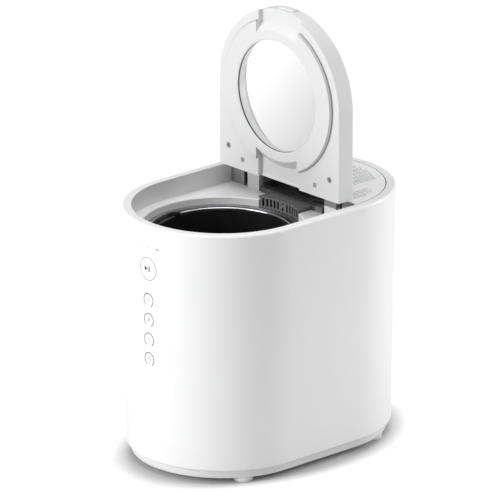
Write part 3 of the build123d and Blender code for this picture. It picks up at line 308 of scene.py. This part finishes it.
for name, material in finishes.items():
    mesh = nodes[name].data
    mesh.materials.clear()
    mesh.materials.append(material)


# ------------------------------------------------------------------ mesh helpers
SHARP_ANGLE = radians(32)
WELD = 0.0001               # millimetres between vertices that become one
SLIVER = 0.001              # shortest edge that a cut leaves, millimetres


def finished(name, mesh, material, body="root"):
    """The mesh, smooth but for its sharp edges, as a piece that rides on a body."""
    bmesh.ops.recalc_face_normals(mesh, faces=mesh.faces)
    for face in mesh.faces:
        face.smooth = True
    for edge in mesh.edges:
        edge.smooth = edge.calc_face_angle(pi) < SHARP_ANGLE
    data = bpy.data.meshes.new(name)
    mesh.to_mesh(data)
    mesh.free()
    if "custom_normal" in data.attributes:
        data.attributes.remove(data.attributes["custom_normal"])
    data.materials.append(material)
    piece = bpy.data.objects.new(name, data)
    bpy.context.scene.collection.objects.link(piece)
    weighted = piece.modifiers.new("weighted", "WEIGHTED_NORMAL")
    weighted.mode = "FACE_AREA_WITH_ANGLE"
    weighted.keep_sharp = True
    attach(piece, body)
    return piece


def loft(mesh, near_outline, far_outline, low, high):
    """A solid between an outline of (x, z) points at y low and one at y high; millimetres."""
    near = [mesh.verts.new(Vector((x, low, z)) * MM) for x, z in near_outline]
    far = [mesh.verts.new(Vector((x, high, z)) * MM) for x, z in far_outline]
    mesh.faces.new(near)
    mesh.faces.new(far[::-1])
    for i in range(len(near)):
        j = (i + 1) % len(near)
        mesh.faces.new((near[i], near[j], far[j], far[i]))


def swept(mesh, profile, place, steps, closed=False):
    """A closed profile carried along: place(point, i) gives each profile point's spot at step i."""
    sections = [[mesh.verts.new(place(point, i) * MM) for point in profile]
                for i in range(steps + (not closed))]
    count = len(profile)
    for i in range(steps):
        first, second = sections[i], sections[(i + 1) % len(sections)]
        for j in range(count):
            k = (j + 1) % count
            mesh.faces.new((first[j], first[k], second[k], second[j]))
    if not closed:
        mesh.faces.new(sections[0])
        mesh.faces.new(sections[-1][::-1])


# ------------------------------------------------------------------ inner face of the lid
tray_low, tray_high = (Vector(corner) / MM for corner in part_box("lid_tray"))
seal_low, seal_high = (Vector(corner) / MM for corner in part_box("lid_seal"))
LID_MIDDLE_Z = tray_high.z - tray_high.x
BOSS_HEIGHT = 4.0           # of the boss over the flat face round it
LID_FACE_Y = tray_low.y + BOSS_HEIGHT
CHANNEL_HALF = 35.8
CHANNEL_DEPTH = 6.0         # under the flat face
CHANNEL_FLOOR_Y = LID_FACE_Y + CHANNEL_DEPTH
CHANNEL_STEPS = 32          # along the arc where it meets the disc
DISC_RADIUS = 80.0
SEAL_RADIUS = seal_high.x
TUBE_RADIUS = 84.0
TUBE_FACING = 0.5           # least cosine between a face of its wall and the way to the middle
CUT_AHEAD = 4.0             # how far a cutter stands out of the face
CUT_BEYOND = 30.0           # and past the lid's edge


def channel_end(way, radius):
    """Outline of the channel below (way -1) or above (way 1) the disc that carries the window."""
    start = asin(CHANNEL_HALF / radius)
    turns = [start - 2 * start * i / CHANNEL_STEPS for i in range(CHANNEL_STEPS + 1)]
    edge = [(radius * sin(turn), LID_MIDDLE_Z + way * radius * cos(turn)) for turn in turns]
    far = LID_MIDDLE_Z + way * (tray_high.x + CUT_BEYOND)
    return edge + [(-CHANNEL_HALF, far), (CHANNEL_HALF, far)]


def carved(name, node, cutter_mesh, material, body):
    """A piece with the node's shape less the cutter, in the node's stead."""
    cutter_data = bpy.data.meshes.new("cutter")
    bmesh.ops.recalc_face_normals(cutter_mesh, faces=cutter_mesh.faces)
    cutter_mesh.to_mesh(cutter_data)
    cutter_mesh.free()
    cutter = bpy.data.objects.new("cutter", cutter_data)
    start = bmesh.new()
    start.from_mesh(nodes[node].data)
    bmesh.ops.remove_doubles(start, verts=start.verts, dist=WELD * MM)
    start_data = bpy.data.meshes.new("start")
    start.to_mesh(start_data)
    start.free()
    block = bpy.data.objects.new("block", start_data)
    for helper in (cutter, block):
        bpy.context.scene.collection.objects.link(helper)
    cut = block.modifiers.new("cut", "BOOLEAN")
    cut.object = cutter
    cut.solver = "EXACT"
    graph = bpy.context.evaluated_depsgraph_get()
    data = bpy.data.meshes.new_from_object(block.evaluated_get(graph))
    for helper in (cutter, block):
        bpy.data.objects.remove(helper)
    shape = bmesh.new()
    shape.from_mesh(data)
    bmesh.ops.dissolve_degenerate(shape, edges=shape.edges, dist=SLIVER * MM)
    piece = finished(name, shape, material, body)
    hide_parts(node)
    return piece


def inner_face():
    """Inner moulding of the lid: a channel through the boss to a ramp round the window's disc."""
    cutter = bmesh.new()
    ramp = CHANNEL_FLOOR_Y - tray_low.y
    for way in (-1, 1):
        near = channel_end(way, DISC_RADIUS - CUT_AHEAD)
        far = channel_end(way, DISC_RADIUS + ramp)
        loft(cutter, near, far, tray_low.y - CUT_AHEAD, CHANNEL_FLOOR_Y)
    piece = carved("lid_inner_moulding", "lid_tray", cutter, LID, "lid")
    # painted light: faces of the tube wall take the paler copy of the lid's colour
    piece.data.materials.append(TUBE_PAINTED_LIGHT)
    middle = Vector((0.0, 0.0, LID_MIDDLE_Z)) * MM
    for face in piece.data.polygons:
        spoke = (face.center - middle) / MM
        spoke.y = 0
        if spoke.length < TUBE_RADIUS and face.normal.dot(spoke) < -TUBE_FACING * spoke.length:
            face.material_index = 1


def window_ring():
    """Ring between boss and window: a pale bezel in front, the dark gasket set back on its wall."""
    ring_low, ring_high = (Vector(corner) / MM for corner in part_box("window_gasket"))
    wall, bezel_depth, gasket_end, chamfer = 1.4, 0.7, 2.6, 0.3
    outer, inner = ring_high.x, ring_high.x - wall
    front, behind = ring_low.y, ring_high.y
    dark, back = ring_low.y + bezel_depth, ring_low.y + gasket_end
    steps = 144

    def ring(name, profile, material):
        mesh = bmesh.new()

        def place(point, i):
            turn = 2 * pi * i / steps
            return Vector((point[0] * sin(turn), point[1], LID_MIDDLE_Z + point[0] * cos(turn)))
        swept(mesh, profile, place, steps, closed=True)
        return finished(name, mesh, material, "lid")

    bezel = [(inner + chamfer, front), (outer, front), (outer, dark), (inner, dark),
             (inner, front + chamfer)]
    ring("window_bezel", bezel, LID)
    ring("window_seat", [(inner, back), (outer, back), (outer, behind), (inner, behind)], LID)
    line = [(inner, dark), (outer, dark), (outer, back), (inner, back)]
    gasket = ring("window_gasket_line", line, RUBBER)
    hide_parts("window_gasket")


VENT_MARGIN = 10.0          # bare rim round the vents
VENT_START = 13.0           # first row behind the cover's front edge
VENT_PITCH = 5.2            # two rows of slots
VENT_END = 8                # bare stretch behind the last row
VENT_SHORT = 3.0            # how far a groove ends short of the rim
VENT_HALF = 54.0            # half the width of the middle field
SIDE_FIELD = 71.0           # where the side fields start
SIDE_ROWS = 8
GROOVE_DEPTH = 1.2
GROOVE_HALF = 0.9
GROOVE_ABOVE = 2            # how far the cutter stands over the cover
COVER_GAP = 0.5             # how far the outer wall is drawn in
COVER_WALL = 1.5            # what counts as the outer wall


def vented_cover():
    """Rear cover, every other row of its slots joined into a line by a groove.

    Its outer wall is drawn in a little.
    """
    cover_start, cover_end = (Vector(corner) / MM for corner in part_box("rear_cover"))
    radius = cover_end.x - VENT_MARGIN
    arc_y = cover_end.y - cover_end.x
    foot, top = cover_end.z - GROOVE_DEPTH, cover_end.z + GROOVE_ABOVE
    cutter = bmesh.new()
    row = 0
    while (y := cover_start.y + VENT_START + row * VENT_PITCH) <= arc_y + radius - VENT_END:
        reach = (radius ** 2 - max(0.0, y - arc_y) ** 2) ** 0.5 - VENT_SHORT
        spans = [(-min(reach, VENT_HALF), min(reach, VENT_HALF))]
        if row < SIDE_ROWS:
            spans += [(SIDE_FIELD, reach), (-reach, -SIDE_FIELD)]
        for low, high in spans:
            outline = [(low, foot), (high, foot), (high, top), (low, top)]
            loft(cutter, outline, outline, y - GROOVE_HALF, y + GROOVE_HALF)
        row += 1
    piece = carved("vented_rear_cover", "rear_cover", cutter, WHITE, "cover")
    for vertex in piece.data.vertices:
        arm = Vector((vertex.co.x, max(0.0, vertex.co.y - arc_y * MM), 0.0))
        if arm.length > (cover_end.x - COVER_WALL) * MM:
            vertex.co -= arm.normalized() * COVER_GAP * MM


LIP_RISE = 1.7              # over the channel's floor
LIP_THICK = 1.6
LIP_BEVEL = 0.4
LIP_SUNK = 0.1              # how far its root is in the floor
LIP_GAP = 0.05              # from the channel's walls


def lower_lip():
    """Small lip along the lower edge of the channel."""
    mesh = bmesh.new()
    half = CHANNEL_HALF - LIP_GAP
    root, tip = CHANNEL_FLOOR_Y + LIP_SUNK, CHANNEL_FLOOR_Y - LIP_RISE
    low, high = tray_low.z, tray_low.z + LIP_THICK
    profile = [(root, low), (tip + LIP_BEVEL, low), (tip, low + LIP_BEVEL),
               (tip, high - LIP_BEVEL), (tip + LIP_BEVEL, high), (root, high)]

    def place(point, i):
        return Vector(((2 * i - 1) * half, *point))
    swept(mesh, profile, place, steps=1)
    finished("lid_lower_lip", mesh, LID, "lid")


def seal_arcs():
    """Seal round the boss, in two arcs that end at the channel."""
    mesh = bmesh.new()
    depth, shoulder, cheek, bevel, clearance = 2.8, 0.9, 0.2, 0.5, 0.002
    root, tip = SEAL_RADIUS - depth, SEAL_RADIUS
    near, far = seal_low.y, seal_high.y
    profile = [(root, near), (tip - shoulder, near), (tip - cheek, near + bevel),
               (tip, (near + far) / 2), (tip - cheek, far - bevel), (tip - shoulder, far),
               (root, far)]
    start = asin(CHANNEL_HALF / root) + clearance
    steps = 72
    for side in (-1, 1):
        def place(point, i, side=side):
            turn = start + (pi - 2 * start) * i / steps
            height = LID_MIDDLE_Z + point[0] * cos(turn)
            return Vector((side * point[0] * sin(turn), point[1], height))
        swept(mesh, profile, place, steps)
    piece = finished("lid_seal_arcs", mesh, RUBBER_LIGHT, "lid")
    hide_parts("lid_seal")


BARREL_RADIUS = 4.1
BARREL_BACK = 0.5           # flat back of the half barrel behind the hinge's axis
BARREL_START, BARREL_TURN = -97, 166
BARREL_STEPS = 16
BARREL_GAP = 0.4            # from the hinge arm
BARREL_END = 104.0


def hinge_ends():
    """Dark half barrel between each hinge arm and the wall of the recess, on the bulkhead."""
    post_low, post_high = (Vector(corner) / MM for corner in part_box("hinge_posts"))
    arm_high = Vector(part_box("hinge_arms")[1]) / MM
    knuckle = (post_high.y - post_low.y) / 2
    axis_y, axis_z = post_high.y - knuckle, post_high.z - knuckle
    back = axis_y + BARREL_BACK
    turns = [radians(BARREL_START - BARREL_TURN * i / BARREL_STEPS)
             for i in range(BARREL_STEPS + 1)]
    half = [(axis_y + BARREL_RADIUS * sin(turn), axis_z + BARREL_RADIUS * cos(turn))
            for turn in turns]
    half = [(min(y, back), z) for y, z in half]
    for side, word in ((-1, "left"), (1, "right")):
        mesh = bmesh.new()
        inner, outer = arm_high.x + BARREL_GAP, BARREL_END

        def place(point, i, side=side):
            return Vector((side * (inner + (outer - inner) * i), *point))
        swept(mesh, half, place, steps=1)
        finished("hinge_end_" + word, mesh, HINGE_DARK)


# ------------------------------------------------------------------ printed marks on the front
shell_low, shell_high = (corner / MM for corner in map(Vector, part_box("outer_shell")))
RIM_RADIUS = shell_high.x
RIM_HEIGHT = shell_high.z
FRONT_AXIS_Y = shell_low.y + RIM_RADIUS
DRAFT = 4.5 / 295.0         # how much the front leans in towards its foot
INK_PROUD = 0.05
INK_SUNK = 0.15
MARK_X = 0.4
START_HEIGHT = 258.4
START_RADIUS = 14.0
KEY_RADIUS = 8.1
KEY_HEIGHTS = (219.4, 194.5, 169.8, 145.2)
KEY_OPEN = radians(33)
START_LINE = 0.6
KEY_LINE = 1.0
SIGN_LINE = 0.4
BAR_LINE = 1.1
LAMP_HEIGHT = 285.6
LAMP_HALF = 3.2


def on_front(along, height, proud):
    """A point of the rounded front: millimetres along its arc, height, and how far out."""
    radius = RIM_RADIUS - DRAFT * (RIM_HEIGHT - height) + proud
    angle = along / RIM_RADIUS
    return Vector((radius * sin(angle), FRONT_AXIS_Y - radius * cos(angle), height)) * MM


def stroke(mesh, path, width, closed=False):
    """A printed line of even width along a path of (along, height) points."""
    path = [Vector(point) for point in path]
    count = len(path)
    sections = []
    for i, point in enumerate(path):
        before = path[i - 1] if closed or i > 0 else point
        after = path[(i + 1) % count] if closed or i < count - 1 else point
        side = (after - before).normalized().orthogonal() * width / 2
        edges = ((-1, INK_PROUD), (1, INK_PROUD), (1, -INK_SUNK), (-1, -INK_SUNK))
        sections.append([mesh.verts.new(on_front(*(point + k * side), out)) for k, out in edges])
    for i in range(count if closed else count - 1):
        first, second = sections[i], sections[(i + 1) % count]
        for j in range(4):
            k = (j + 1) % 4
            mesh.faces.new((first[j], first[k], second[k], second[j]))
    if not closed:
        mesh.faces.new(sections[0][::-1])
        mesh.faces.new(sections[-1])


def patch(mesh, outline):
    """A printed patch inside an outline of (along, height) points."""
    top = [mesh.verts.new(on_front(*point, INK_PROUD)) for point in outline]
    under = [mesh.verts.new(on_front(*point, -INK_SUNK)) for point in outline]
    mesh.faces.new(top)
    mesh.faces.new(under[::-1])
    for i in range(len(outline)):
        j = (i + 1) % len(outline)
        mesh.faces.new((top[i], under[i], under[j], top[j]))


def arc(centre, radius, start, end, steps):
    """Points round a centre, from angle start to end; angles count from straight up, clockwise."""
    x, z = centre
    turns = [start + (end - start) * i / steps for i in range(steps + 1)]
    return [(x + radius * sin(turn), z + radius * cos(turn)) for turn in turns]


def start_mark():
    """Ring of the start key with a play and pause sign."""
    mesh = bmesh.new()
    ring = arc((MARK_X, START_HEIGHT), START_RADIUS, 0, 2 * pi, 96)[:-1]
    stroke(mesh, ring, START_LINE, closed=True)
    left, length, half = MARK_X - 5.4, 4.6, 3.3
    low, high = START_HEIGHT - half, START_HEIGHT + half
    patch(mesh, [(left, low), (left, high), (left + length, START_HEIGHT)])
    for bar in (MARK_X + 0.6, MARK_X + 3.0):
        stroke(mesh, [(bar, low), (bar, high)], BAR_LINE)
    finished("start_mark", mesh, INK)


def key_rings():
    """Four rings below the start key, open at the bottom."""
    mesh = bmesh.new()
    for height in KEY_HEIGHTS:
        stroke(mesh, arc((MARK_X, height), KEY_RADIUS, KEY_OPEN - pi, pi - KEY_OPEN, 64), KEY_LINE)
    finished("key_rings", mesh, INK)


def key_signs():
    """A small generic sign in each ring: warm air, leaf, drop and clock."""
    mesh = bmesh.new()
    line = SIGN_LINE
    warm, leaf, drop, clock = KEY_HEIGHTS
    for shift in (-2.2, 0.0, 2.2):
        wave = [(MARK_X + shift + 0.5 * sin(2 * pi * i / 12), warm - 2.2 + 4.4 * i / 12)
                for i in range(13)]
        stroke(mesh, wave, line)
    stroke(mesh, arc((MARK_X + 1.6, leaf - 1.6), 3.4, -pi / 2, 0, 10), line)
    stroke(mesh, arc((MARK_X - 1.8, leaf + 1.8), 3.4, pi / 2, pi, 10), line)
    stroke(mesh, [(MARK_X - 1.8, leaf - 1.6), (MARK_X + 1.4, leaf + 1.6)], line)
    stroke(mesh, arc((MARK_X, drop - 0.8), 1.8, radians(60), radians(300), 20), line)
    for side in (-1, 1):
        stroke(mesh, [(MARK_X, drop + 2.8), (MARK_X + side * 1.56, drop + 0.1)], line)
    stroke(mesh, arc((MARK_X, clock), 2.6, 0, 2 * pi, 28)[:-1], line, closed=True)
    stroke(mesh, [(MARK_X, clock + 1.8), (MARK_X, clock), (MARK_X + 1.3, clock - 0.7)], line)
    finished("key_signs", mesh, INK_GREY)


def lamp_marks():
    """Three short marks under the rim, for the indicator lamps."""
    marks = (("left", -17.0, 0.7, INK_PALE), ("middle", 0.0, 0.9, INK_PALE),
             ("right", 16.5, 1.1, INK_GREY))
    for name, along, width, material in marks:
        mesh = bmesh.new()
        stroke(mesh, [(along - LAMP_HALF, LAMP_HEIGHT), (along + LAMP_HALF, LAMP_HEIGHT)], width)
        finished("lamp_mark_" + name, mesh, material)


inner_face()
vented_cover()
window_ring()
lower_lip()
seal_arcs()
hinge_ends()
start_mark()
key_rings()
key_signs()
lamp_marks()


# ------------------------------------------------------------------ studio
WORLD_STRENGTH = 0.2
FLOOR_SIZE = 30.0           # metres
FLOOR_NEAR = 0.6            # colour of the floor beside the part, as the camera sees it: a painted shadow round the part
FLOOR_BOUNCE = 0.8          # and as everything else does
# where each rise starts and ends, in multiples of the part's footprint, and its colour beyond,
# above 1 so that the floor stays white where the lights fall off; the first rise ends the painted
# shadow round the part
FLOOR_RISE = ((1.0, 1.18, 1.1), (2.0, 12.0, 1.65), (12.0, 36.0, 8.0))


def area_light(name, place, aim, size, power):
    """A square soft box at place, facing aim; millimetres."""
    data = bpy.data.lights.new(name, "AREA")
    data.shape = "RECTANGLE"
    data.size = size * MM
    data.size_y = size * MM
    data.energy = power
    light = bpy.data.objects.new(name, data)
    light.location = Vector(place) * MM
    light.rotation_euler = (Vector(aim) - Vector(place)).to_track_quat("-Z", "Y").to_euler()
    bpy.context.scene.collection.objects.link(light)


world = bpy.data.worlds.new("studio")
bpy.context.scene.world = world
world.use_nodes = True
world.node_tree.nodes["Background"].inputs["Color"].default_value = (1.0, 1.0, 1.0, 1.0)
world.node_tree.nodes["Background"].inputs["Strength"].default_value = WORLD_STRENGTH

area_light("overhead", place=(0, 0, 2600), aim=(0, 0, 0), size=2600, power=50.0)
area_light("key", place=(-540, -2350, 1000), aim=(0, 0, 180), size=1500, power=46.0)
area_light("rim", place=(400, 620, 360), aim=(60, 60, 200), size=240, power=1.6)
area_light("fill", place=(1300, 2000, 900), aim=(0, 0, 250), size=1000, power=11.0)

floor_mesh = bpy.data.meshes.new("floor")
grid = bmesh.new()
bmesh.ops.create_grid(grid, x_segments=1, y_segments=1, size=FLOOR_SIZE / 2)
grid.to_mesh(floor_mesh)
grid.free()
floor = bpy.data.objects.new("floor", floor_mesh)
bpy.context.scene.collection.objects.link(floor)
floor_material = bpy.data.materials.new("floor")
floor_material.use_nodes = True
tree = floor_material.node_tree
tree.nodes.remove(tree.nodes["Principled BSDF"])
matt = tree.nodes.new("ShaderNodeBsdfDiffuse")
path = tree.nodes.new("ShaderNodeLightPath")
spot = tree.nodes.new("ShaderNodeTexCoord")
footprint = tree.nodes.new("ShaderNodeMapping")
footprint.inputs["Scale"].default_value = (1000 / RIM_RADIUS, -1000 / shell_low.y, 1.0)
away = tree.nodes.new("ShaderNodeVectorMath")
away.operation = "LENGTH"
tree.links.new(spot.outputs["Object"], footprint.inputs["Vector"])
tree.links.new(footprint.outputs["Vector"], away.inputs[0])
# painted shadow: the camera sees the floor dark beside the part, rising to white away from it, in
# multiples of its footprint
seen = (FLOOR_NEAR,) * 3
for start, end, shade in FLOOR_RISE:
    near = ranged(tree, away.outputs["Value"], 1.0, 0.0, start, end)
    seen = blend_colour(tree, near, (shade,) * 3, seen)
lift = blend_colour(tree, path.outputs["Is Camera Ray"], (FLOOR_BOUNCE,) * 3, seen)
tree.links.new(lift, matt.inputs["Color"])
tree.links.new(matt.outputs["BSDF"], tree.nodes["Material Output"].inputs["Surface"])
floor_mesh.materials.append(floor_material)
